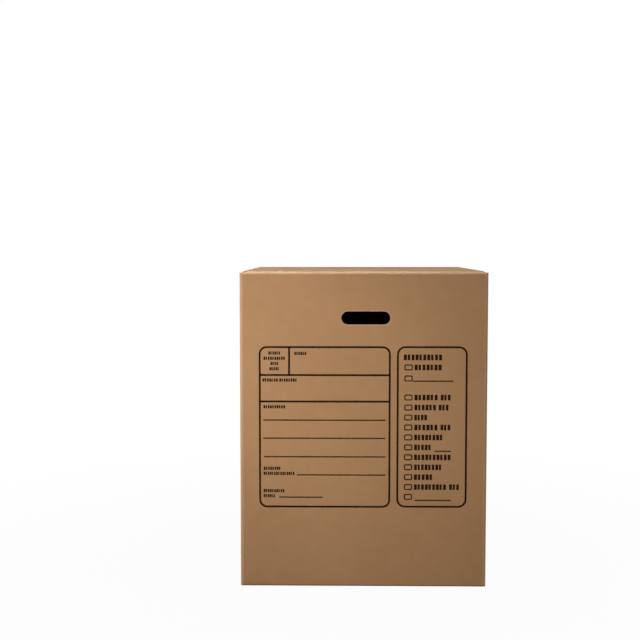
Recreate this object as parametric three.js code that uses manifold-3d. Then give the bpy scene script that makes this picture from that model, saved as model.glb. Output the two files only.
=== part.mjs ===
// A corrugated moving carton with a square base, folded from one sheet and shut.
// Millimetres, +Z up, front towards -Y, origin at the middle of the underside.
// The sheet is one piece: four walls, a glued lap, the bottom flaps and the inner top flaps.
// The two outer top flaps are separate meshes, because they swing open at their creases.

import * as THREE from 'three';
import { mergeVertices } from 'three/addons/utils/BufferGeometryUtils.js';
import Module from 'manifold-3d';

const wasm = await Module();
wasm.setup();

// Driving dimensions of the carton

const insideWidth = 457;
const insideDepth = 457;
const insideHeight = 582;
const board = 4;
const creaseInnerRadius = 1;
const slotWidth = 7;
const seamGap = 2;
const layerGap = 0.4;

// Hand holes, punched through the front and the rear wall

const handHoleLength = 92;
const handHoleHeight = 25;
const handHoleBelowTop = 87;
const handHoleOffCentre = 4;

// Glued lap, which joins the two ends of the sheet inside the rear left corner

const lapWidth = 35;
const lapTaper = 12;
const lapEndClearance = 3;
const rawEdgeInset = 1;
const glueLine = 0.3;

// Corrugated section, which shows along the free edge of each outer top flap

const flutePitch = 7.8;
const liner = 0.5;
const medium = 0.5;
const fluteDepth = 30;

// Fineness of the round stretches

const cornerSegments = 5;
const handHoleSegments = 12;
const fluteSamples = 8;

// Sizes that follow from the driving ones

const width = insideWidth + 2 * board;
const depth = insideDepth + 2 * board;
const foldRadius = creaseInnerRadius + board;
const flapSetback = (slotWidth + board) / 2;
const embed = board / 2;

// Levels of the flap layers, from the floor up

const innerBottomUnder = board + layerGap;
const insideFloor = innerBottomUnder + board;
const insideCeiling = insideFloor + insideHeight;
const innerTopOver = insideCeiling + board;
const outerTopUnder = innerTopOver + layerGap;
const height = outerTopUnder + board;

// Kraft paper, a little darker on the walls than on the flaps that catch the light

const wallKraft = new THREE.MeshStandardMaterial({ color: 0xa98561, roughness: 0.85, metalness: 0 });
const flapKraft = new THREE.MeshStandardMaterial({ color: 0xb18f70, roughness: 0.85, metalness: 0 });

// Solids from three.js geometry, and back

function solid(geometry) {
  const bare = geometry.clone();
  bare.deleteAttribute('normal');
  bare.deleteAttribute('uv');
  const merged = mergeVertices(bare, 1e-4);
  return new wasm.Manifold(new wasm.Mesh({
    numProp: 3,
    vertProperties: new Float32Array(merged.attributes.position.array),
    triVerts: new Uint32Array(merged.index.array),
  }));
}

function geometryOf(manifold) {
  const mesh = manifold.getMesh();
  const geometry = new THREE.BufferGeometry();
  geometry.setAttribute('position', new THREE.BufferAttribute(mesh.vertProperties, 3));
  geometry.setIndex(new THREE.BufferAttribute(mesh.triVerts, 1));
  geometry.computeVertexNormals();
  return geometry;
}

function box(low, high) {
  const size = new THREE.Vector3().subVectors(high, low);
  const middle = new THREE.Vector3().addVectors(low, high).multiplyScalar(0.5);
  const geometry = new THREE.BoxGeometry(size.x, size.y, size.z);
  geometry.translate(middle.x, middle.y, middle.z);
  return solid(geometry);
}

// A shape drawn in the plane of the floor, pulled up from one level to another
function pulledUp(shape, from, to) {
  const geometry = new THREE.ExtrudeGeometry(shape, {
    depth: to - from, bevelEnabled: false, curveSegments: cornerSegments,
  });
  geometry.translate(0, 0, from);
  return solid(geometry);
}

// A section drawn as (inward, up), pulled along X: inward runs from a front wall towards +Y
function alongX(shape, from, to) {
  const geometry = new THREE.ExtrudeGeometry(shape, {
    depth: to - from, bevelEnabled: false, curveSegments: cornerSegments,
  });
  geometry.rotateX(Math.PI / 2);
  geometry.rotateZ(Math.PI / 2);
  geometry.translate(from, 0, 0);
  return solid(geometry);
}

// Walls: a ring with three creased corners and one glued corner at the rear left

function outerContour() {
  const right = width / 2;
  const rear = depth / 2;
  const r = foldRadius;
  const lapLevel = rear - board - glueLine;
  const shape = new THREE.Shape();
  shape.moveTo(-right + r, -rear);
  shape.lineTo(right - r, -rear);
  shape.absarc(right - r, -rear + r, r, -Math.PI / 2, 0, false);
  shape.lineTo(right, rear - r);
  shape.absarc(right - r, rear - r, r, 0, Math.PI / 2, false);
  shape.lineTo(-right + rawEdgeInset, rear);
  shape.lineTo(-right + rawEdgeInset, rear - board);
  shape.lineTo(-right + r, rear - board);
  shape.lineTo(-right + r, lapLevel);
  shape.absarc(-right + r, lapLevel - r, r, Math.PI / 2, Math.PI, false);
  shape.lineTo(-right, -rear + r);
  shape.absarc(-right + r, -rear + r, r, Math.PI, 1.5 * Math.PI, false);
  return shape;
}

function innerContour() {
  const right = width / 2 - board;
  const rear = depth / 2 - board;
  const r = creaseInnerRadius;
  const lapFace = rear - glueLine - board;
  const lapEnd = -width / 2 + lapWidth;
  const path = new THREE.Path();
  path.moveTo(-right + r, -rear);
  path.lineTo(right - r, -rear);
  path.absarc(right - r, -rear + r, r, -Math.PI / 2, 0, false);
  path.lineTo(right, rear - r);
  path.absarc(right - r, rear - r, r, 0, Math.PI / 2, false);
  path.lineTo(lapEnd, rear);
  path.lineTo(lapEnd, lapFace);
  path.lineTo(-right + r, lapFace);
  path.absarc(-right + r, lapFace - r, r, Math.PI / 2, Math.PI, false);
  path.lineTo(-right, -rear + r);
  path.absarc(-right + r, -rear + r, r, Math.PI, 1.5 * Math.PI, false);
  return path;
}

// What is cut off an end of the lap, which clears the flaps there and tapers to its free edge
function lapCut(past, endLevel, taper) {
  const root = -width / 2 + foldRadius;
  const tip = -width / 2 + lapWidth + embed;
  const shape = new THREE.Shape();
  shape.moveTo(root, past);
  shape.lineTo(tip, past);
  shape.lineTo(tip, endLevel + taper);
  shape.lineTo(root, endLevel);
  shape.closePath();
  const geometry = new THREE.ExtrudeGeometry(shape, {
    depth: board + glueLine + embed, bevelEnabled: false,
  });
  geometry.rotateX(Math.PI / 2);
  geometry.translate(0, depth / 2 - board, 0);
  return solid(geometry);
}

// The punch for a hand hole: a stadium that reaches well past both faces of its wall
function handHole(wallFace) {
  const straight = handHoleLength - handHoleHeight;
  const r = handHoleHeight / 2;
  const reach = board + embed;
  const shape = new THREE.Shape();
  shape.moveTo(-straight / 2, -r);
  shape.lineTo(straight / 2, -r);
  shape.absarc(straight / 2, 0, r, -Math.PI / 2, Math.PI / 2, false);
  shape.lineTo(-straight / 2, r);
  shape.absarc(-straight / 2, 0, r, Math.PI / 2, 1.5 * Math.PI, false);
  const geometry = new THREE.ExtrudeGeometry(shape, {
    depth: 2 * reach, bevelEnabled: false, curveSegments: handHoleSegments,
  });
  geometry.rotateX(Math.PI / 2);
  geometry.translate(handHoleOffCentre, wallFace + reach, height - handHoleBelowTop);
  return solid(geometry);
}

// A wall's foot that folds under into a flap: drawn as (inward, up) from the wall's outer face
function foldedFlapSection(face, centre, under) {
  const r = foldRadius;
  const inner = creaseInnerRadius;
  const legTop = under + r + board;
  const flapEnd = centre - seamGap / 2;
  const shape = new THREE.Shape();
  shape.moveTo(face, legTop);
  shape.lineTo(face, under + r);
  shape.absarc(face + r, under + r, r, Math.PI, 1.5 * Math.PI, false);
  shape.lineTo(flapEnd, under);
  shape.lineTo(flapEnd, under + board);
  shape.lineTo(face + r, under + board);
  shape.absarc(face + r, under + r, inner, 1.5 * Math.PI, Math.PI, true);
  shape.lineTo(face + board, legTop);
  shape.closePath();
  return shape;
}

function carton() {
  const flapHalfWidth = width / 2 - flapSetback;
  const flapHalfDepth = depth / 2 - flapSetback;
  const gluedFlapEnd = flapHalfDepth - board - glueLine;
  const ringShape = outerContour();
  ringShape.holes.push(innerContour());
  let body = pulledUp(ringShape, innerBottomUnder, innerTopOver);

  // Ends of the glued lap
  const foot = innerBottomUnder + foldRadius;
  const head = innerTopOver - foldRadius;
  body = body.subtract(lapCut(0, foot + lapEndClearance, lapTaper));
  body = body.subtract(lapCut(height, head - lapEndClearance, -lapTaper));

  // Room for the creases, between the slots
  const outX = width / 2 + embed;
  const inX = insideWidth / 2 - embed;
  for (const side of [-1, 1]) {
    const rearEnd = side < 0 ? gluedFlapEnd : flapHalfDepth;
    const near = Math.min(side * outX, side * inX);
    const far = Math.max(side * outX, side * inX);
    for (const [low, high] of [[0, foot], [head, height]]) {
      body = body.subtract(box(
        new THREE.Vector3(near, -flapHalfDepth, low),
        new THREE.Vector3(far, rearEnd, high),
      ));
    }
    const outY = side * (depth / 2 + embed);
    const inY = side * (insideDepth / 2 - embed);
    body = body.subtract(box(
      new THREE.Vector3(-flapHalfWidth, Math.min(outY, inY), 0),
      new THREE.Vector3(flapHalfWidth, Math.max(outY, inY), foldRadius),
    ));
  }

  // Outer bottom flaps fold in from the front and rear walls
  const outerBottom = alongX(foldedFlapSection(-depth / 2, 0, 0), -flapHalfWidth, flapHalfWidth);
  body = body.add(outerBottom).add(outerBottom.rotate([0, 0, 180]));

  // Inner flaps fold in from the side walls, over the outer bottom ones and under the top ones
  const rightFlap = alongX(
    foldedFlapSection(-width / 2, 0, innerBottomUnder), -flapHalfDepth, flapHalfDepth,
  ).rotate([0, 0, 90]);
  const leftFlap = alongX(
    foldedFlapSection(-width / 2, 0, innerBottomUnder), -gluedFlapEnd, flapHalfDepth,
  ).rotate([0, 0, -90]);
  const middle = innerBottomUnder + innerTopOver;
  for (const flap of [rightFlap, leftFlap]) {
    const topFlap = flap.mirror([0, 0, 1]).translate([0, 0, middle]);
    body = body.add(flap).add(topFlap);
  }

  // Hand holes
  body = body.subtract(handHole(-depth / 2)).subtract(handHole(depth / 2));
  return body;
}

// The waved medium between the liners, as a band that bites a little into both of them
function fluteBand(from, to) {
  const bite = liner / 4;
  const swing = (board - 2 * liner - medium) / 2 + bite;
  const crest = Math.cos(Math.PI / fluteSamples);
  const step = flutePitch / fluteSamples;
  const count = Math.round((to - from) / step);
  const line = [];
  for (let i = 0; i <= count; i += 1) {
    const phase = (2 * Math.PI * (i + 0.5)) / fluteSamples;
    line.push(new THREE.Vector2(from + ((to - from) * i) / count, (swing * Math.cos(phase)) / crest));
  }
  const lower = line.map((p) => new THREE.Vector2(p.x, p.y - medium / 2));
  const upper = line.map((p) => new THREE.Vector2(p.x, p.y + medium / 2));
  return new THREE.Shape([...lower, ...upper.reverse()]);
}

// An outer top flap, drawn for the front wall and turned about Z for the rear one
function topFlap() {
  const halfWidth = width / 2 - flapSetback;
  const face = -depth / 2;
  const freeEdge = -seamGap / 2;
  const solidEnd = freeEdge - fluteDepth;
  const shape = new THREE.Shape();
  shape.moveTo(face, outerTopUnder);
  shape.lineTo(solidEnd, outerTopUnder);
  shape.lineTo(solidEnd, height);
  shape.lineTo(face + board, height);
  shape.absarc(face + board, outerTopUnder, board, Math.PI / 2, Math.PI, false);
  const plate = alongX(shape, -halfWidth, halfWidth);

  // Two liners with the fluted medium between them, open at the free edge
  const near = solidEnd - embed;
  const underLiner = box(
    new THREE.Vector3(-halfWidth, near, outerTopUnder),
    new THREE.Vector3(halfWidth, freeEdge, outerTopUnder + liner),
  );
  const overLiner = box(
    new THREE.Vector3(-halfWidth, near, height - liner),
    new THREE.Vector3(halfWidth, freeEdge, height),
  );
  const waved = new THREE.ExtrudeGeometry(fluteBand(-halfWidth, halfWidth), {
    depth: freeEdge - near, bevelEnabled: false,
  });
  waved.rotateX(Math.PI / 2);
  waved.translate(0, freeEdge, outerTopUnder + board / 2);
  return plate.add(underLiner).add(overLiner).add(solid(waved));
}

function named(name, manifold, material) {
  const mesh = new THREE.Mesh(geometryOf(manifold), material);
  mesh.name = name;
  return mesh;
}

const movingCarton = new THREE.Group();
movingCarton.add(named('carton_body', carton(), wallKraft));
movingCarton.add(named('front_top_flap', topFlap(), flapKraft));
movingCarton.add(named('rear_top_flap', topFlap().rotate([0, 0, 180]), flapKraft));

export default movingCarton;
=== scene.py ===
"""A corrugated moving carton with a square base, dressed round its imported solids.

Metres, with the printed front wall towards -Y.
"""

import math

import bmesh
import bpy
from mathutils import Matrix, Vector


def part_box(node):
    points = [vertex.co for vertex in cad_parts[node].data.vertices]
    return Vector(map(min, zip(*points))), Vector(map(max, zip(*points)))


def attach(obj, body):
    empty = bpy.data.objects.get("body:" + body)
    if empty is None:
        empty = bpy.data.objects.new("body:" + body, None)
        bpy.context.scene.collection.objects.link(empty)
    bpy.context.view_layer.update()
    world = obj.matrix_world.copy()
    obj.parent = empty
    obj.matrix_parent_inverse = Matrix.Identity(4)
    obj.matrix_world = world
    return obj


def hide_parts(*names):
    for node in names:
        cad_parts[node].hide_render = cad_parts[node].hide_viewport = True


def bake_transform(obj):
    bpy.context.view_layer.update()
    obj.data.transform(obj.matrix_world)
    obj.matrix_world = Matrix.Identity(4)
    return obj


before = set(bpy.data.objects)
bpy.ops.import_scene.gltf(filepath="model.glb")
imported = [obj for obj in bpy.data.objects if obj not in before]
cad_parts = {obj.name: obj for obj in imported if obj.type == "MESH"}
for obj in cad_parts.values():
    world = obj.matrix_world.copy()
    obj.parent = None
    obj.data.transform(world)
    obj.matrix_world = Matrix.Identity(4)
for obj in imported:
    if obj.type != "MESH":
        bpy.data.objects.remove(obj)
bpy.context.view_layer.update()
bpy.ops.object.select_all(action="DESELECT")

# Sizes of the board and the carton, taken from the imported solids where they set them

SHEET_LOW, SHEET_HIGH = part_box("carton_body")
FLAP_LOW, FLAP_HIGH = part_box("front_top_flap")
HALF_WIDTH = SHEET_HIGH.x
HALF_DEPTH = SHEET_HIGH.y
HEIGHT = FLAP_HIGH.z
BOARD = FLAP_HIGH.z - FLAP_LOW.z
FLAP_HALF = FLAP_HIGH.x
FREE_EDGE = FLAP_HIGH.y

LINER = 0.00045
MEDIUM = LINER * 0.8
FLUTE_PITCH = 0.0078
FLUTE_SWING = BOARD / 2 - LINER * 1.2
WALL_RADIUS = 0.005
FOLD_RADIUS = 0.0042
FOLD_LEG = 0.009

# The front top corners, which are pressed down, and the corner folds, which reach into the slots

CRUSH_DEPTH = 0.0021
CRUSH_ALONG = 0.020
CRUSH_BACK = 0.030
CORNER_RISE = 0.0022
CORNER_DROP = 0.0033
CORNER_TAKEN = 0.006

# The hand holes, whose openings the record states as boxes in the middle of each stadium

HOLE_LENGTH = 0.092
HOLE_RADIUS = 0.0125
HOLE_STRAIGHT = HOLE_LENGTH - 2 * HOLE_RADIUS
HOLE_OFF_CENTRE = 0.004
HOLE_HEIGHT_UP = HEIGHT - 0.087
GROOVE = 0.003

# A face is square to an axis where its normal's part along the axis is above the first of these, and
# edge on to it where that part is below the second. Edges are shaded smooth below the angle.

SQUARE_ON = 0.9
EDGE_ON = 0.3
SMOOTH_ANGLE = math.radians(35)

# Printing

INK_THICKNESS = 0.00006
INK_GAP = 0.00002
STROKE = 0.0036
FINE_STROKE = 0.0024
SMALL_WORD = 0.0060
SMALL_LETTER = 0.0040
LIST_WORD = 0.0105
LIST_LETTER = 0.0070

# Colours, as scene-linear red, green and blue, and the gloss of paper and of ink

KRAFT = (0.450, 0.246, 0.114, 1.0)
KRAFT_DARK = (0.380, 0.198, 0.084, 1.0)
KRAFT_LIGHT = (0.56, 0.352, 0.200, 1.0)
# Rubbed paper on folds and hand hole rims; on the front and rear top folds it is also a painted highlight
KRAFT_WORN_AND_HIGHLIGHT = (0.73, 0.50, 0.32, 1.0)
FIBRE_DARK = (0.21, 0.106, 0.044, 1.0)
CUT_BROWN = (0.30, 0.165, 0.078, 1.0)
INK = (0.016, 0.0065, 0.002, 1.0)
INK_THIN = (0.036, 0.0155, 0.005, 1.0)
PALE = (0.22, 0.21, 0.19, 1.0)
ROOM_TINT = (1.0, 0.95, 0.87, 1.0)
WHITE = (1.0, 1.0, 1.0, 1.0)
PAPER_GLOSS = 0.25
INK_GLOSS = 0.08

# How close the flecks of the paper lie along X, Y and Z: they are thin where the number is large

FLECKS_LEVEL = (90.0, 90.0, 420.0)
FLECKS_UPRIGHT = (90.0, 420.0, 90.0)


# Shader expressions

class Sum:
    """One socket of a node tree, with the arithmetic that the finishes use."""

    def __init__(self, nodes, socket):
        self.nodes = nodes
        self.socket = socket

    def maths(self, operation, other=None):
        values = [self] if other is None else [self, other]
        return self.nodes.node("ShaderNodeMath", {"operation": operation}, values)

    def __add__(self, other):
        return self.maths("ADD", other)

    def __sub__(self, other):
        return self.maths("SUBTRACT", other)

    def __mul__(self, other):
        return self.maths("MULTIPLY", other)

    def __rsub__(self, other):
        return self.nodes.node("ShaderNodeMath", {"operation": "SUBTRACT"}, [other, self])

    __radd__ = __add__
    __rmul__ = __mul__

    def size(self):
        return self.maths("ABSOLUTE")


class Nodes:
    """The node tree of a material or a world, whose new nodes all come from one method."""

    def __init__(self, tree):
        self.tree = tree

    def node(self, kind, settings=None, values=(), output=0):
        """Any node: its settings first, then the values or links of its sockets, then one output."""
        made = self.tree.nodes.new(kind)
        for key, value in (settings or {}).items():
            if key == "stops":
                self.set_stops(made.color_ramp, value)
            else:
                setattr(made, key, value)
        pairs = values.items() if isinstance(values, dict) else enumerate(values)
        for key, value in pairs:
            if isinstance(value, Sum):
                self.tree.links.new(value.socket, made.inputs[key])
            else:
                made.inputs[key].default_value = value
        return Sum(self, made.outputs[output])

    def set_stops(self, ramp, stops):
        while len(ramp.elements) < len(stops):
            ramp.elements.new(0.5)
        for element, (place, value) in zip(ramp.elements, stops):
            element.position = place
            element.color = (value, value, value, 1.0)


class Finish(Nodes):
    """A material, written as expressions."""

    def __init__(self, name):
        self.material = bpy.data.materials.new(name)
        self.material.use_nodes = True
        super().__init__(self.material.node_tree)
        self.shader = self.tree.nodes["Principled BSDF"]

    def place(self, scale=(1.0, 1.0, 1.0)):
        """Object coordinates, stretched by a scale of its own along each axis."""
        source = self.node("ShaderNodeTexCoord", output="Object")
        return self.node("ShaderNodeMapping", {}, {"Vector": source, "Scale": scale})

    def along(self, axis):
        """How far a point lies along one axis."""
        source = self.node("ShaderNodeTexCoord", output="Object")
        return self.node("ShaderNodeSeparateXYZ", {}, [source], output=axis)

    def noise(self, scale, detail=2.0, stretch=(1.0, 1.0, 1.0), roughness=0.5):
        return self.node("ShaderNodeTexNoise", {}, {
            "Vector": self.place(stretch), "Scale": scale, "Detail": detail, "Roughness": roughness,
        })

    def ramp(self, value, stops):
        return self.node("ShaderNodeValToRGB", {"stops": stops}, [value])

    def fade(self, value, start, end, first=0.0, last=1.0):
        """Goes from first to last while a value goes from start to end, and stays level past both."""
        return self.node("ShaderNodeMapRange", {}, [value, start, end, first, last])

    def mix(self, share, first, second):
        """A blend of two colours, whose sockets are 6 and 7 going in and 2 coming out."""
        return self.node("ShaderNodeMix", {"data_type": "RGBA"}, {0: share, 6: first, 7: second}, output=2)

    def bump(self, height, distance, strength=1.0, under=None):
        values = {"Strength": strength, "Distance": distance, "Height": height}
        if under is not None:
            values["Normal"] = under
        return self.node("ShaderNodeBump", {}, values)

    def feed(self, **links):
        for name, value in links.items():
            socket = self.shader.inputs[name.replace("_", " ")]
            if isinstance(value, Sum):
                self.tree.links.new(value.socket, socket)
            else:
                socket.default_value = value
        return self.material


def worn_edges_and_highlight(paper):
    """How near a point is to a fold or a hand hole, from 0 to 1: rubbed paper, with a painted highlight on
    the front and rear top folds.
    """
    wall_rub, side_rub, rim_rub, rim_reach = 0.38, 0.45, 0.7, 0.0022
    none_at, full_at = 1.5, 0.65
    across, deep, up = (paper.along(axis) for axis in "XYZ")

    def fold(first, second, corner, radius):
        """Full on the middle of a round fold and none a little past its ends.

        The corner is where its two faces would meet without the round.
        """
        return paper.fade(first + second, corner - none_at * radius, corner - full_at * radius)

    side, front = across.size(), deep.size()
    wall_corner = fold(side, front, HALF_WIDTH + HALF_DEPTH, WALL_RADIUS)
    side_crown = fold(side, up, HALF_WIDTH + SHEET_HIGH.z, WALL_RADIUS) * side_rub
    # The front and rear top folds take the whole lighter tone: rubbed paper and a painted highlight
    crown_wear_and_highlight = fold(front, up, HALF_DEPTH + HEIGHT, FOLD_RADIUS)
    folds = crown_wear_and_highlight.maths("MAXIMUM", wall_corner * wall_rub).maths("MAXIMUM", side_crown)

    # Distance from the rim of the hand holes, which are stadiums
    past_end = ((across - HOLE_OFF_CENTRE).size() - HOLE_STRAIGHT / 2).maths("MAXIMUM", 0.0)
    rise = up - HOLE_HEIGHT_UP
    radial = (past_end * past_end + rise * rise).maths("SQRT") - HOLE_RADIUS
    rim = paper.fade(radial, 0.0, rim_reach, rim_rub, 0.0)
    on_face = paper.fade(front, HALF_DEPTH - LINER, HALF_DEPTH - LINER / 2)
    return folds.maths("MAXIMUM", rim * on_face)


def kraft_liner(name, ground, ripple_axis):
    """Brown kraft paper: mottled, flecked with fibres, with the flutes showing through as a faint ripple of
    bump and painted shade.
    """
    cloud_share, mottle_share, dark_share, light_share, ripple_shade_share = 0.45, 0.16, 0.16, 0.14, 0.05
    least_wear_and_highlight, patchy_wear_and_highlight = 0.4, 0.8
    paper = Finish(name)
    cloud = paper.noise(scale=5.0, detail=3.0)
    mottle = paper.noise(scale=38.0, detail=4.0, roughness=0.6)
    lie = FLECKS_UPRIGHT if ripple_axis == "Y" else FLECKS_LEVEL
    fleck = paper.noise(scale=3.2, detail=5.0, stretch=lie, roughness=0.65)
    dark_fleck = paper.ramp(fleck, [(0.30, 1.0), (0.38, 0.0)])
    light_fleck = paper.ramp(fleck, [(0.62, 0.0), (0.72, 1.0)])

    tone = paper.mix(paper.ramp(cloud, [(0.3, 0.0), (0.7, 1.0)]) * cloud_share, ground, KRAFT_DARK)
    tone = paper.mix(paper.ramp(mottle, [(0.35, 0.0), (0.65, 1.0)]) * mottle_share, tone, KRAFT_LIGHT)
    tone = paper.mix(dark_fleck * dark_share, tone, FIBRE_DARK)
    tone = paper.mix(light_fleck * light_share, tone, KRAFT_LIGHT)

    turns = paper.along(ripple_axis) * (2.0 * math.pi / FLUTE_PITCH)
    ripple = turns.maths("SINE") * 0.5 + 0.5
    # Painted shade: darker stripes at the flute pitch, where the liner's washboard ripple would be shaded
    tone = paper.mix(ripple * ripple_shade_share, tone, KRAFT_DARK)
    # Lighter where the paper is rubbed, with a painted highlight along the front and rear top folds
    tone = paper.mix(worn_edges_and_highlight(paper) * (mottle * patchy_wear_and_highlight + least_wear_and_highlight), tone, KRAFT_WORN_AND_HIGHLIGHT)

    flutes = paper.bump(ripple, distance=0.00005, strength=0.5)
    skin = paper.bump(fleck, distance=0.00006, strength=0.5, under=flutes)
    waves = paper.bump(cloud, distance=0.003, strength=0.25, under=skin)
    rough = paper.ramp(mottle, [(0.3, 0.74), (0.7, 0.86)])
    return paper.feed(Base_Color=tone, Roughness=rough, Normal=waves, Specular_IOR_Level=PAPER_GLOSS)


def cut_edge(name):
    """The raw edge of the board, darker than its faces, with torn fibres."""
    streak_share = 0.4
    edge = Finish(name)
    fibre = edge.noise(scale=900.0, detail=4.0, roughness=0.7)
    streak = edge.noise(scale=120.0, detail=2.0)
    tone = edge.mix(fibre, CUT_BROWN, KRAFT)
    tone = edge.mix(edge.ramp(streak, [(0.4, 0.0), (0.7, 1.0)]) * streak_share, tone, FIBRE_DARK)
    torn = edge.bump(fibre, distance=0.0003, strength=0.6)
    return edge.feed(Base_Color=tone, Roughness=0.92, Normal=torn)


def flexo_ink(name, colour):
    """Printing ink that has sunk into the paper, worn thin over the fibres."""
    thin_share = 0.2
    ink = Finish(name)
    fibre = ink.noise(scale=3.2, detail=5.0, stretch=FLECKS_LEVEL, roughness=0.65)
    thin = ink.ramp(fibre, [(0.60, 0.0), (0.78, 1.0)])
    tone = ink.mix(thin * thin_share, colour, FIBRE_DARK)
    grain = ink.bump(fibre, distance=0.00005, strength=0.4)
    return ink.feed(Base_Color=tone, Roughness=0.8, Normal=grain, Specular_IOR_Level=INK_GLOSS)


WALL_SIDE = kraft_liner("kraft_side_walls", KRAFT, "Y")
WALL_FRONT = kraft_liner("kraft_front_and_rear", KRAFT, "X")
FLAP_PAPER = kraft_liner("kraft_flaps", KRAFT, "X")
CUT = cut_edge("cut_board_edge")
INK_BOLD = flexo_ink("ink_bold", INK)
INK_FINE = flexo_ink("ink_fine", INK_THIN)


# Modelling helpers

def alone(piece):
    """Leaves one piece selected and active."""
    bpy.ops.object.select_all(action="DESELECT")
    piece.select_set(True)
    bpy.context.view_layer.objects.active = piece


def editing(piece, selection="SELECT"):
    """Opens a piece in edit mode with all or none of it selected."""
    alone(piece)
    bpy.ops.object.mode_set(mode="EDIT")
    bpy.ops.mesh.select_all(action=selection)


def done():
    bpy.ops.object.mode_set(mode="OBJECT")


def settle(piece, name):
    """Writes the object's place into its mesh and leaves the object at the origin."""
    alone(piece)
    bpy.ops.object.transform_apply(location=True, rotation=True, scale=True)
    piece.name = name
    piece.data.name = name
    return piece


def block(name, low, high):
    """A box between two corners, from a cube primitive."""
    low, high = Vector(low), Vector(high)
    bpy.ops.mesh.primitive_cube_add(size=1.0, location=(low + high) / 2)
    piece = bpy.context.active_object
    piece.scale = high - low
    return settle(piece, name)


def join(pieces, name):
    """Joins pieces into the first of them."""
    bpy.ops.object.select_all(action="DESELECT")
    for piece in pieces:
        piece.select_set(True)
    bpy.context.view_layer.objects.active = pieces[0]
    if len(pieces) > 1:
        bpy.ops.object.join()
    pieces[0].name = name
    pieces[0].data.name = name
    return pieces[0]


def cut_away(piece, cutter, operation="DIFFERENCE"):
    """Applies one boolean and removes its cutter."""
    alone(piece)
    modifier = piece.modifiers.new("cut", "BOOLEAN")
    modifier.operation = operation
    modifier.solver = "EXACT"
    modifier.object = cutter
    bpy.ops.object.modifier_apply(modifier=modifier.name)
    bpy.data.objects.remove(cutter)


def turned_round(piece, name):
    """A copy with its own mesh, turned half way round about Z, for the rear of the carton."""
    alone(piece)
    bpy.ops.object.duplicate()
    copy = bpy.context.active_object
    copy.rotation_euler = (0.0, 0.0, math.pi)
    return settle(copy, name)


def smooth(piece):
    alone(piece)
    bpy.ops.object.shade_smooth_by_angle(angle=SMOOTH_ANGLE)


def face_outwards(piece):
    editing(piece)
    bpy.ops.mesh.normals_make_consistent(inside=False)
    done()


def finish_with(piece, *materials):
    piece.data.materials.clear()
    for material in materials:
        piece.data.materials.append(material)


# The sheet's walls and fixed flaps

def wall_sheet():
    """The folded sheet without its outer top flaps, from a copy of its solid."""
    merge_distance, flat_angle = 0.00001, math.radians(0.5)
    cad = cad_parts["carton_body"]
    sheet = bpy.data.objects.new("folded_sheet", cad.data.copy())
    bpy.context.scene.collection.objects.link(sheet)
    editing(sheet)
    bpy.ops.mesh.remove_doubles(threshold=merge_distance)
    bpy.ops.mesh.dissolve_limited(angle_limit=flat_angle)
    done()

    # The crease strips take over from the walls just under the outer top flaps
    for side in (-1, 1):
        front, rear = sorted((side * (HALF_DEPTH + BOARD), side * (HALF_DEPTH - 2 * BOARD)))
        cutter = block(
            "cutter", (-FLAP_HALF, front, HEIGHT - FOLD_LEG), (FLAP_HALF, rear, HEIGHT + BOARD),
        )
        cut_away(sheet, cutter)

    run_on_corners(sheet)
    open_edges(sheet)
    shut_seams(sheet)
    finish_with(sheet, WALL_FRONT, WALL_SIDE, CUT)
    front_slot, side_slot, cut_slot = range(3)
    sideways = 0.7
    for face in sheet.data.polygons:
        if is_cut(face):
            face.material_index = cut_slot
        elif abs(face.normal.x) > sideways:
            face.material_index = side_slot
        else:
            face.material_index = front_slot
    flutes = [hole_flutes(side) for side in (-1, 1)]
    for wave in flutes:
        smooth(wave)
    smooth(sheet)
    sheet = join([sheet] + flutes, "folded_sheet")
    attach(sheet, "carton")
    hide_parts("carton_body")


def shut_seams(piece):
    """Splits open edges where another open edge ends on them, so that the two sides meet."""
    end_share, touching, merge_distance = 0.001, 0.000005, 0.000001
    mesh = bmesh.new()
    mesh.from_mesh(piece.data)
    loose = [edge for edge in mesh.edges if len(edge.link_faces) == 1]
    rim = {vertex.index for edge in loose for vertex in edge.verts}
    ends = [vertex for vertex in mesh.verts if vertex.index in rim]
    for edge in loose:
        first, second = edge.verts
        line = second.co - first.co
        for other in ends:
            share = (other.co - first.co).dot(line) / line.length_squared
            gap = (first.co + line * share - other.co).length
            if end_share < share < 1.0 - end_share and gap < touching:
                bmesh.utils.edge_split(edge, first, share)
                break
    bmesh.ops.remove_doubles(mesh, verts=mesh.verts[:], dist=merge_distance)
    bare = [edge for edge in mesh.edges if not edge.link_faces]
    bmesh.ops.delete(mesh, geom=bare, context="EDGES")
    mesh.to_mesh(piece.data)
    mesh.free()


def run_on_corners(sheet):
    """Runs the four corner folds on into the slots, a little way up at the top and down at the foot.

    A copy of the ends of the folds is moved past the sheet and joined to it again.
    """
    slot_end = HALF_DEPTH - (HALF_WIDTH - FLAP_HALF)
    tops = (SHEET_HIGH.z, CORNER_TAKEN + HEIGHT - SHEET_HIGH.z)
    boxes = []
    for side_x in (-1, 1):
        left, right = sorted((side_x * FLAP_HALF, side_x * (HALF_WIDTH + BOARD)))
        for side_y in (-1, 1):
            front, rear = sorted((side_y * slot_end, side_y * (HALF_DEPTH + BOARD)))
            for top in tops:
                boxes.append(block("corner", (left, front, top - CORNER_TAKEN), (right, rear, top)))
    alone(sheet)
    bpy.ops.object.duplicate()
    ends = bpy.context.active_object
    cut_away(ends, join(boxes, "corners"), "INTERSECT")
    for vertex in ends.data.vertices:
        vertex.co.z += CORNER_RISE if vertex.co.z > HEIGHT / 2 else -CORNER_DROP
    cut_away(sheet, ends, "UNION")


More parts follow.
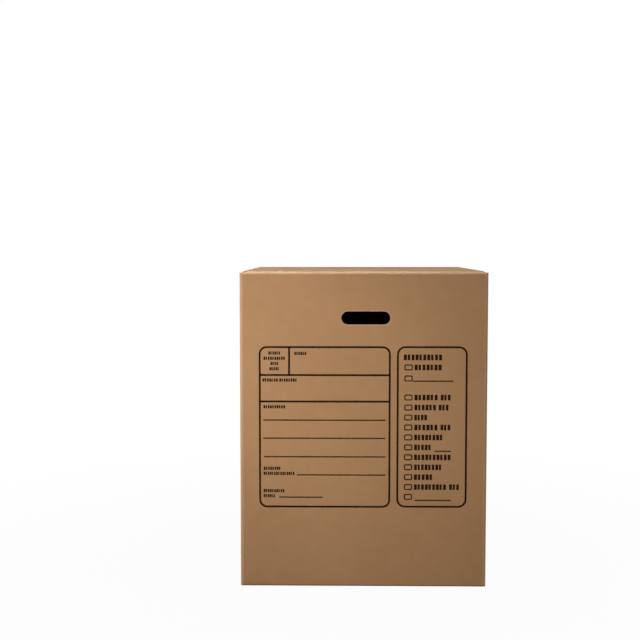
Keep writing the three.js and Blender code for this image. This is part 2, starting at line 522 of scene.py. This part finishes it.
def is_cut(face):
    """True on the raw edges of the board: slots, free edges, hand hole rims and the glued corner."""
    slack, skin = 0.0002, 0.0005
    inner = HALF_WIDTH - BOARD - slack
    spot, normal = face.center, face.normal
    flap_edge = abs(normal.x) > SQUARE_ON and abs(spot.x) < inner
    flap_side = abs(normal.y) > SQUARE_ON and abs(spot.y) < inner
    in_wall = abs(spot.y) > inner and abs(normal.y) < EDGE_ON
    rim = in_wall and abs(spot.x) < HOLE_LENGTH and abs(spot.z - HOLE_HEIGHT_UP) < 2 * HOLE_RADIUS
    raw_end = in_wall and normal.x < -SQUARE_ON and -HALF_WIDTH + skin < spot.x < -inner
    corner_end = abs(normal.z) > SQUARE_ON and abs(spot.x) > inner and abs(spot.y) > inner
    return flap_edge or flap_side or rim or raw_end or corner_end


def stadium(name, grow, low_y, high_y):
    """The hand hole's outline grown by a margin, pulled from one depth to another."""
    points = 48
    radius = HOLE_RADIUS + grow
    bpy.ops.mesh.primitive_cylinder_add(
        vertices=points, radius=radius, depth=high_y - low_y, rotation=(math.pi / 2, 0.0, 0.0),
        location=(HOLE_OFF_CENTRE, (low_y + high_y) / 2, HOLE_HEIGHT_UP),
    )
    shape = settle(bpy.context.active_object, name)
    for vertex in shape.data.vertices:
        side = 1 if vertex.co.x > HOLE_OFF_CENTRE else -1
        vertex.co.x += side * HOLE_STRAIGHT / 2
    return shape


def open_edges(sheet):
    """Opens the board between its liners where its raw edges show."""
    between = BOARD - 2 * LINER
    for side in (-1, 1):
        middle = side * (HALF_DEPTH - BOARD / 2)
        cut_away(sheet, stadium("groove", GROOVE, middle - between / 2, middle + between / 2))

    # The raw end of the rear wall, over the glued lap
    raw_end, reach, clear = -HALF_WIDTH + 0.001, 0.002, 0.008
    cut_away(sheet, block(
        "groove",
        (raw_end - reach, HALF_DEPTH - BOARD + LINER, clear),
        (raw_end + reach, HALF_DEPTH - LINER, HEIGHT - clear),
    ))

    # The side edges of the inner top flaps
    deep, past, end = 0.002, 0.001, HALF_WIDTH - 0.012
    for side in (-1, 1):
        front, rear = sorted((side * (FLAP_HALF - deep), side * (FLAP_HALF + past)))
        cut_away(sheet, block(
            "groove",
            (-end, front, SHEET_HIGH.z - BOARD + LINER),
            (end, rear, SHEET_HIGH.z - LINER),
        ))


def hole_flutes(side):
    """The medium seen round a hand hole: upright flutes between the liners, cut off at the rim."""
    clear, set_back = 0.0001, 0.0004
    middle = side * (HALF_DEPTH - BOARD / 2)
    reach_x = HOLE_LENGTH / 2 + GROOVE
    reach_z = HOLE_RADIUS + GROOVE
    wave = fluted_medium(
        "hole_flutes", HOLE_OFF_CENTRE - reach_x, HOLE_OFF_CENTRE + reach_x, -reach_z, reach_z, 0.0,
    )
    for vertex in wave.data.vertices:
        x, along, swing = vertex.co
        vertex.co = (x, middle + swing, HOLE_HEIGHT_UP + along)
    face_outwards(wave)
    cut_away(wave, stadium("round", GROOVE - clear, middle - BOARD, middle + BOARD), "INTERSECT")
    cut_away(wave, stadium("round", set_back, middle - BOARD, middle + BOARD))
    finish_with(wave, CUT)
    return wave


# Outer top flaps, each with its crease strip

def fluted_medium(name, from_x, to_x, from_y, to_y, middle):
    """The fluted medium: a strip that swings between the liners, given its thickness by Solidify."""
    samples = 12
    count = round((to_x - from_x) / FLUTE_PITCH * samples)
    bpy.ops.mesh.primitive_grid_add(x_subdivisions=count, y_subdivisions=1, size=1.0)
    wave = bpy.context.active_object
    for vertex in wave.data.vertices:
        x = from_x + (to_x - from_x) * (vertex.co.x + 0.5)
        y = from_y + (to_y - from_y) * (vertex.co.y + 0.5)
        z = middle + FLUTE_SWING * math.sin(2 * math.pi * x / FLUTE_PITCH)
        vertex.co = (x, y, z)
    alone(wave)
    wall = wave.modifiers.new("paper", "SOLIDIFY")
    wall.thickness = MEDIUM
    wall.offset = 0.0
    bpy.ops.object.modifier_apply(modifier=wall.name)
    return settle(wave, name)


def sliced(piece, normal, places):
    """Adds edges round a piece at places along one axis, where it is to bend."""
    mesh = bmesh.new()
    mesh.from_mesh(piece.data)
    for place in places:
        everything = mesh.verts[:] + mesh.edges[:] + mesh.faces[:]
        bmesh.ops.bisect_plane(mesh, geom=everything, plane_co=Vector(normal) * place, plane_no=normal)
    mesh.to_mesh(piece.data)
    mesh.free()


def press_corners(piece):
    """Presses the front corners of the shut flap thin, as on a carton that has been handled."""
    steps = 6
    ends = [side * (FLAP_HALF - CRUSH_ALONG * i / steps) for side in (-1, 1) for i in range(1, steps + 1)]
    rows = [-HALF_DEPTH + FOLD_LEG + (CRUSH_BACK - FOLD_LEG) * i / steps for i in range(1, steps + 1)]
    sliced(piece, (1.0, 0.0, 0.0), ends)
    sliced(piece, (0.0, 1.0, 0.0), rows)
    base = HEIGHT - BOARD
    for vertex in piece.data.vertices:
        along = max(0.0, 1.0 - (FLAP_HALF - abs(vertex.co.x)) / CRUSH_ALONG)
        back = max(0.0, 1.0 - (vertex.co.y + HALF_DEPTH) / CRUSH_BACK)
        level = max(0.0, vertex.co.z - base) / BOARD
        vertex.co.z -= CRUSH_DEPTH * along * math.sqrt(along) * back * level


def outer_flap():
    """The front flap as board: two liners with the fluted medium between them."""
    recess = 0.0006
    side_end = FLAP_HALF - recess
    crease_end = -HALF_DEPTH + FOLD_LEG
    base, middle = HEIGHT - BOARD, HEIGHT - BOARD / 2
    under = block("under_liner", (-FLAP_HALF, crease_end, base), (FLAP_HALF, FREE_EDGE, base + LINER))
    over = block("over_liner", (-FLAP_HALF, crease_end, HEIGHT - LINER), (FLAP_HALF, FREE_EDGE, HEIGHT))
    medium = fluted_medium("medium", -side_end, side_end, crease_end, FREE_EDGE - recess, middle)
    for part in (under, over):
        finish_with(part, FLAP_PAPER, CUT)
    finish_with(medium, CUT)
    smooth(medium)
    return join([over, under, medium], "front_flap_board")


def crease_strip():
    """Board bent through a right angle over the wall's top, crushed thin along the score."""
    steps = 10
    inner = FOLD_RADIUS - BOARD
    bend_reach = inner * 1.5
    leg_foot = HEIGHT - FOLD_LEG
    centre = (0.0, -HALF_DEPTH + FOLD_RADIUS, HEIGHT - FOLD_RADIUS)
    strip = block(
        "front_crease",
        (-FLAP_HALF, -HALF_DEPTH, leg_foot),
        (FLAP_HALF, -HALF_DEPTH + BOARD, HEIGHT - FOLD_RADIUS),
    )
    editing(strip, "DESELECT")
    mesh = bmesh.from_edit_mesh(strip.data)
    for face in mesh.faces:
        face.select_set(face.normal.z > SQUARE_ON)
    bmesh.update_edit_mesh(strip.data)
    bpy.ops.mesh.spin(steps=steps, angle=math.pi / 2, center=centre, axis=(1.0, 0.0, 0.0))
    bpy.ops.mesh.extrude_region_move(TRANSFORM_OT_translate={"value": (0.0, FOLD_LEG - FOLD_RADIUS, 0.0)})
    done()
    face_outwards(strip)

    # The score: the inside of the bend is pushed out towards its outer face
    crush = 0.0016
    for vertex in strip.data.vertices:
        arm = Vector((0.0, vertex.co.y - centre[1], vertex.co.z - centre[2]))
        if arm.length < bend_reach and arm.y < 0 and arm.z > 0:
            turn = math.atan2(arm.z, -arm.y)
            push = crush * math.sin(2 * turn)
            vertex.co.y -= push * math.cos(turn)
            vertex.co.z += push * math.sin(turn)
    finish_with(strip, FLAP_PAPER, CUT)
    for face in strip.data.polygons:
        face.material_index = int(abs(face.normal.x) > SQUARE_ON)
    smooth(strip)
    return strip


def finish_flap(flap, strip, side, body):
    """Lets the flap ride its body, hides its imported solid, and writes the strip's place into its mesh."""
    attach(flap, body)
    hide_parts("front_top_flap" if side < 0 else "rear_top_flap")
    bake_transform(strip)


# Printed form on the front wall, as plain ruled shapes with no lettering

def ink_block(name, left, right, low, high, radius=0.0):
    """A flat printed shape just in front of the wall, with round corners where it has a radius."""
    bpy.ops.mesh.primitive_plane_add(size=1.0)
    shape = bpy.context.active_object
    shape.rotation_euler = (math.pi / 2, 0.0, 0.0)
    shape.scale = (right - left, high - low, 1.0)
    shape.location = ((left + right) / 2, SHEET_LOW.y - INK_GAP, (low + high) / 2)
    settle(shape, name)
    if radius:
        editing(shape)
        bpy.ops.mesh.bevel(offset=radius, segments=8, affect="VERTICES", clamp_overlap=False)
        done()
    return shape


def ink_frame(name, left, right, low, high, radius, stroke):
    """A printed outline: the rounded shape, inset by the stroke, with its middle taken out."""
    shape = ink_block(name, left, right, low, high, radius)
    editing(shape)
    bpy.ops.mesh.inset(thickness=stroke, depth=0.0)
    bpy.ops.mesh.delete(type="FACE")
    done()
    return shape


def thicken(shape):
    alone(shape)
    coat = shape.modifiers.new("ink", "SOLIDIFY")
    coat.thickness = INK_THICKNESS
    coat.offset = 1.0
    bpy.ops.object.modifier_apply(modifier=coat.name)
    return shape


def word_bar(left, right, middle, tall, letter):
    """A word's place, filled with plain blocks of three widths, which spell nothing."""
    fills = (0.78, 0.60, 0.72)
    count = max(1, round((right - left) / letter))
    pitch = (right - left) / count
    blocks = []
    for i in range(count):
        start = left + i * pitch
        end = start + pitch * fills[i % len(fills)]
        blocks.append(ink_block("word", start, end, middle - tall / 2, middle + tall / 2))
    return blocks


def rule(left, right, middle, stroke):
    return ink_block("rule", left, right, middle - stroke / 2, middle + stroke / 2)


def left_form():
    """The wide form: a tag in its top left corner, two rows, headings and five writing lines.

    A heading or a line is given by its left end, its right end and the height of its middle.
    """
    left, right, low, high, corner = -0.1969, 0.0509, 0.1522, 0.4588, 0.015
    upper_rule, lower_rule, divider = 0.4043, 0.3543, -0.1398
    tag_middle = -0.1672
    tag_words = ((0.4458, 0.0115), (0.4359, 0.0205), (0.4262, 0.0075), (0.4162, 0.0095))
    headings = (
        (-0.1300, -0.1068, 0.4451),
        (-0.1898, -0.1604, 0.3948),
        (-0.1582, -0.1242, 0.3948),
        (-0.1882, -0.1465, 0.3443),
        (-0.1882, -0.1552, 0.2270),
        (-0.1882, -0.1292, 0.2174),
        (-0.1885, -0.1482, 0.1843),
        (-0.1885, -0.1660, 0.1746),
    )
    writing_lines = (
        (-0.1886, 0.0415, 0.3190),
        (-0.1886, 0.0415, 0.2846),
        (-0.1875, 0.0420, 0.2493),
        (-0.1254, 0.0415, 0.2147),
        (-0.1587, -0.0768, 0.1720),
    )
    half = STROKE / 2
    heavy = [
        ink_frame("form_frame", left, right, low, high, corner, STROKE),
        rule(left + half, right - half, upper_rule, STROKE),
        rule(left + half, right - half, lower_rule, STROKE),
        ink_block("divider", divider - half, divider + half, upper_rule, high - half),
    ]
    for middle, reach in tag_words:
        heavy += word_bar(tag_middle - reach, tag_middle + reach, middle, SMALL_WORD, SMALL_LETTER)
    for start, end, middle in headings:
        heavy += word_bar(start, end, middle, SMALL_WORD, SMALL_LETTER)
    return heavy, [rule(start, end, middle, FINE_STROKE) for start, end, middle in writing_lines]


def right_form():
    """The list: a heading and a column of tick boxes, each with one or two words or a line beside it."""
    left, right, low, high, corner = 0.0624, 0.1948, 0.1528, 0.4590, 0.016
    heading_left, heading_right, heading_middle, heading_tall = 0.0753, 0.1483, 0.4380, 0.0108
    box_left, box_width, box_height, box_corner, box_stroke = 0.0765, 0.0156, 0.0114, 0.0030, 0.0022
    word_left, second_word = 0.0956, 0.020

    # The upper two rows stand apart and the other eleven are evenly spaced.
    # Each has the right end of its first word, or None where there is only a line or nothing.
    first_row, last_row = 0.3623, 0.1732
    ends = (0.1411, 0.1376, 0.1206, 0.1410, 0.1507, 0.1288, 0.1657, 0.1490, 0.1322, 0.1576, None)
    rows = len(ends)
    second_starts = {0: 0.1450, 1: 0.1413, 3: 0.1449, 9: 0.1619}
    middles = [first_row + (last_row - first_row) * i / (rows - 1) for i in range(rows)]
    upper_rows = ((0.4191, 0.1477), (0.3983, None))
    writing_lines = ((0.0921, 0.1679, 0.3932), (0.1344, 0.1645, 0.2606), (0.0966, 0.1651, 0.1667))

    heavy = [ink_frame("list_frame", left, right, low, high, corner, STROKE)]
    heavy += word_bar(heading_left, heading_right, heading_middle, heading_tall, LIST_LETTER)
    for middle, end in (*upper_rows, *zip(middles, ends)):
        heavy.append(ink_frame(
            "tick_box", box_left, box_left + box_width,
            middle - box_height / 2, middle + box_height / 2, box_corner, box_stroke,
        ))
        if end is not None:
            heavy += word_bar(word_left, end, middle, LIST_WORD, LIST_LETTER)
    for row, start in second_starts.items():
        heavy += word_bar(start, start + second_word, middles[row], LIST_WORD, LIST_LETTER)
    return heavy, [rule(start, end, middle, FINE_STROKE) for start, end, middle in writing_lines]


def printed(name, shapes, material):
    """Joins printed shapes into one piece of ink on the front wall."""
    piece = thicken(join(shapes, name))
    finish_with(piece, material)
    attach(piece, "carton")


# Floor, backdrop, light and camera

def stage_and_light():
    """A pale floor and room that look white, and four soft lamps."""
    floor_size, floor_level, room_strength = 12.0, -0.0005, 0.17
    near_glow, near, far = 0.965, 0.40, 1.3
    bpy.ops.mesh.primitive_plane_add(size=floor_size, location=(0.0, 0.0, floor_level))
    floor = settle(bpy.context.active_object, "floor")
    ground = Finish("pale_floor")
    ground.feed(Base_Color=PALE, Roughness=0.9)
    reach = ground.node("ShaderNodeVectorMath", {"operation": "LENGTH"}, [ground.place()], output="Value")
    show_white(ground, ground.shader, ground.fade(reach, near, far, near_glow))
    finish_with(floor, ground.material)

    world = bpy.data.worlds.new("pale_room")
    bpy.context.scene.world = world
    world.use_nodes = True
    soft = world.node_tree.nodes["Background"]
    soft.inputs["Color"].default_value = ROOM_TINT
    soft.inputs["Strength"].default_value = room_strength
    show_white(Nodes(world.node_tree), soft)

    lamp("key", place=(-1.0, -1.3, 0.95), target=(-0.15, -0.23, 0.38), size=0.5, power=1.56, spread=46)
    lamp("top", place=(-0.25, -0.75, 1.9), target=(0.0, -0.2, 0.6), size=0.8, power=10.0)
    lamp("right", place=(1.7, 0.5, 0.5), target=(0.2, 0.0, 0.3), size=1.2, power=17.0)
    lamp("behind", place=(-0.9, 1.7, 0.5), target=(-0.1, 0.2, 0.3), size=1.2, power=23.0)


def show_white(nodes, shader, share=1.0):
    """White where the camera, a gloss or a glass sees the surface, and its own shading for other light.

    The share is how much of the white shows.
    """
    camera = nodes.node("ShaderNodeLightPath", output="Is Camera Ray")
    gloss = nodes.node("ShaderNodeLightPath", output="Is Glossy Ray")
    glass = nodes.node("ShaderNodeLightPath", output="Is Transmission Ray")
    seen = camera.maths("MAXIMUM", gloss).maths("MAXIMUM", glass) * share
    white = nodes.node("ShaderNodeEmission", {}, {"Color": WHITE})
    shown = nodes.node("ShaderNodeMixShader", {}, [seen, Sum(nodes, shader.outputs[0]), white])
    end = next(node for node in nodes.tree.nodes if node.type in ("OUTPUT_MATERIAL", "OUTPUT_WORLD"))
    nodes.tree.links.new(shown.socket, end.inputs["Surface"])


def lamp(name, place, target, size, power, spread=180):
    """A soft square lamp that points at a target. Its light spreads over an angle in degrees."""
    light = bpy.data.lights.new(name, "AREA")
    light.size = size
    light.energy = power
    light.spread = math.radians(spread)
    holder = bpy.data.objects.new(name, light)
    bpy.context.scene.collection.objects.link(holder)
    holder.location = place
    holder.rotation_euler = (Vector(target) - Vector(place)).to_track_quat("-Z", "Y").to_euler()


def photograph_camera():
    """A little above the carton and left of its middle, looking slightly down, as in the photograph."""
    image_pixels, focal_pixels = 640.0, 1081.0
    sensor = 36.0
    place = (-0.049, -2.250, 0.6439)
    down = math.radians(3.854)
    to_left = math.radians(0.93)
    lens = bpy.data.cameras.new("camera")
    lens.sensor_width = sensor
    lens.lens = focal_pixels / image_pixels * sensor
    camera = bpy.data.objects.new("camera", lens)
    bpy.context.scene.collection.objects.link(camera)
    camera.location = place
    camera.rotation_euler = (math.pi / 2 - down, 0.0, to_left)
    bpy.context.scene.camera = camera


photograph_camera()
stage_and_light()
wall_sheet()
front_flap = outer_flap()
front_strip = crease_strip()
rear_flap = turned_round(front_flap, "rear_flap_board")
rear_strip = turned_round(front_strip, "rear_crease")
press_corners(front_flap)
press_corners(front_strip)
finish_flap(front_flap, front_strip, -1, "front_flap")
finish_flap(rear_flap, rear_strip, 1, "rear_flap")

left_heavy, left_thin = left_form()
right_heavy, right_thin = right_form()
printed("printed_frames_and_blocks", left_heavy + right_heavy, INK_BOLD)
printed("printed_writing_lines", left_thin + right_thin, INK_FINE)

bpy.context.scene.view_settings.view_transform = "Standard"
